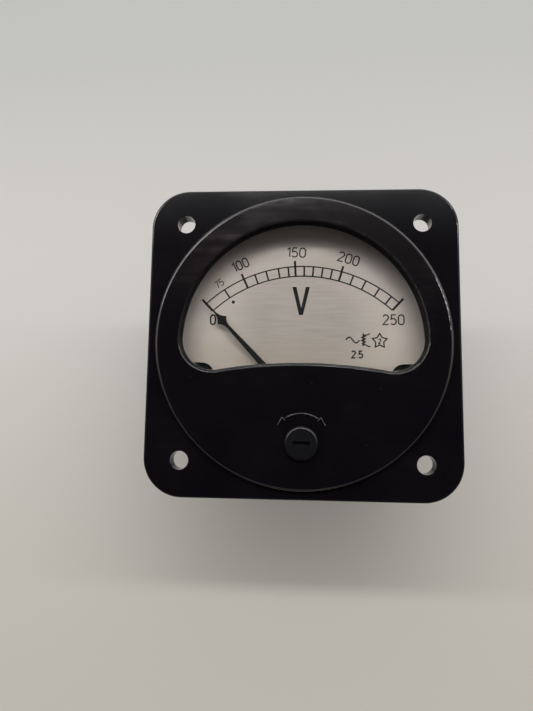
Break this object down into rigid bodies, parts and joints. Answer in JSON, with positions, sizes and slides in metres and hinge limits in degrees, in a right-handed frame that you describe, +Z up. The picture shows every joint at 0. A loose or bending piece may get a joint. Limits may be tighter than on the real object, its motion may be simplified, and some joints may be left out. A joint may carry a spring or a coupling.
{
  "type": "analog panel meter",
  "caption": "Flange-mounted analog panel meter with a round barrel, a curved voltage scale behind a window, a moving-iron movement, a zero corrector and two rear studs.",
  "frame": {"origin": "centre of the four panel holes, on the flange's back face", "axes": "the dial faces -Y, +X is to the reader's right, +Z is up, and the barrel and studs run along +Y"},
  "size_m": [0.08, 0.0597, 0.08],
  "materials": {
    "phenolic": "gloss",
    "bare_steel": "satin",
    "black_steel": "satin",
    "brass": "satin",
    "aluminium": "satin",
    "dial_enamel": "matte",
    "clear_glass": "gloss",
    "seal": "matte",
    "jewel": "gloss",
    "bakelised_paper": "satin",
    "enamelled_copper": "satin",
    "varnished_cloth": "satin",
    "porcelain": "gloss",
    "wire_sleeve": "satin",
    "fibre": "matte"
  },
  "bodies": {
    "case": {"front_cover": "phenolic", "window_gasket": "seal", "window_glass": "clear_glass", "glass_retainer": "black_steel", "retainer_screws": "bare_steel", "corrector_washer": "bare_steel", "rear_case": "phenolic", "case_screws": "bare_steel", "dial_plate": "dial_enamel", "dial_screws": "bare_steel", "movement_plate": "black_steel", "movement_screws": "black_steel", "frame_pillars": "brass", "pillar_spacers": "brass", "rear_bridge": "brass", "pillar_nuts": "bare_steel", "bridge_posts": "brass", "front_bridge": "brass", "bridge_screws": "bare_steel", "front_jewel_screw": "brass", "front_jewel": "jewel", "front_jewel_nut": "brass", "lever_washer": "bare_steel", "rear_jewel_screw": "brass", "rear_jewel": "jewel", "rear_jewel_nut": "brass", "fixed_iron": "bare_steel", "damping_chamber": "aluminium", "damper_lid": "aluminium", "damper_screws": "bare_steel", "stop_pins": "bare_steel", "coil_bobbin": "bakelised_paper", "coil_winding": "enamelled_copper", "coil_wrap": "varnished_cloth", "terminal_studs": "brass", "stud_gaskets": "fibre", "terminal_lugs": "brass", "lock_nuts": "brass", "flat_washers": "bare_steel", "spring_washers": "bare_steel", "terminal_nuts": "brass", "resistor_spool": "porcelain", "resistor_winding": "wire_sleeve", "resistor_screw": "bare_steel", "lead_wires": "wire_sleeve"},
    "corrector": {"corrector_screw": "phenolic", "corrector_clip": "bare_steel"},
    "zero_lever": {"zero_lever": "bare_steel", "hairspring": "bare_steel"},
    "moving_system": {"spindle": "bare_steel", "spring_collet": "brass", "pointer": "black_steel", "pointer_hub": "brass", "balance_weights": "brass", "iron_carrier": "aluminium", "moving_iron": "bare_steel", "damping_vane": "aluminium"}
  },
  "joints": [
    {"name": "corrector_turn", "type": "hinge", "parent": "case", "child": "corrector", "pos_m": [0, -0.006, -0.0259], "axis": [0, 1, 0], "range_deg": [-45, 45]},
    {"name": "zero_shift", "type": "hinge", "parent": "case", "child": "zero_lever", "pos_m": [0, -0.002, -0.0167], "axis": [0, 1, 0], "range_deg": [-5.9, 5.9]},
    {"name": "pointer_swing", "type": "hinge", "parent": "zero_lever", "child": "moving_system", "pos_m": [0, 0, -0.0167], "axis": [0, 1, 0], "range_deg": [-1.5, 88], "stiffness_Nm_per_rad": 0.00003}
  ],
  "couplings": [
    {"joint": "zero_shift", "follows": "corrector_turn", "ratio": 0.13}
  ]
}
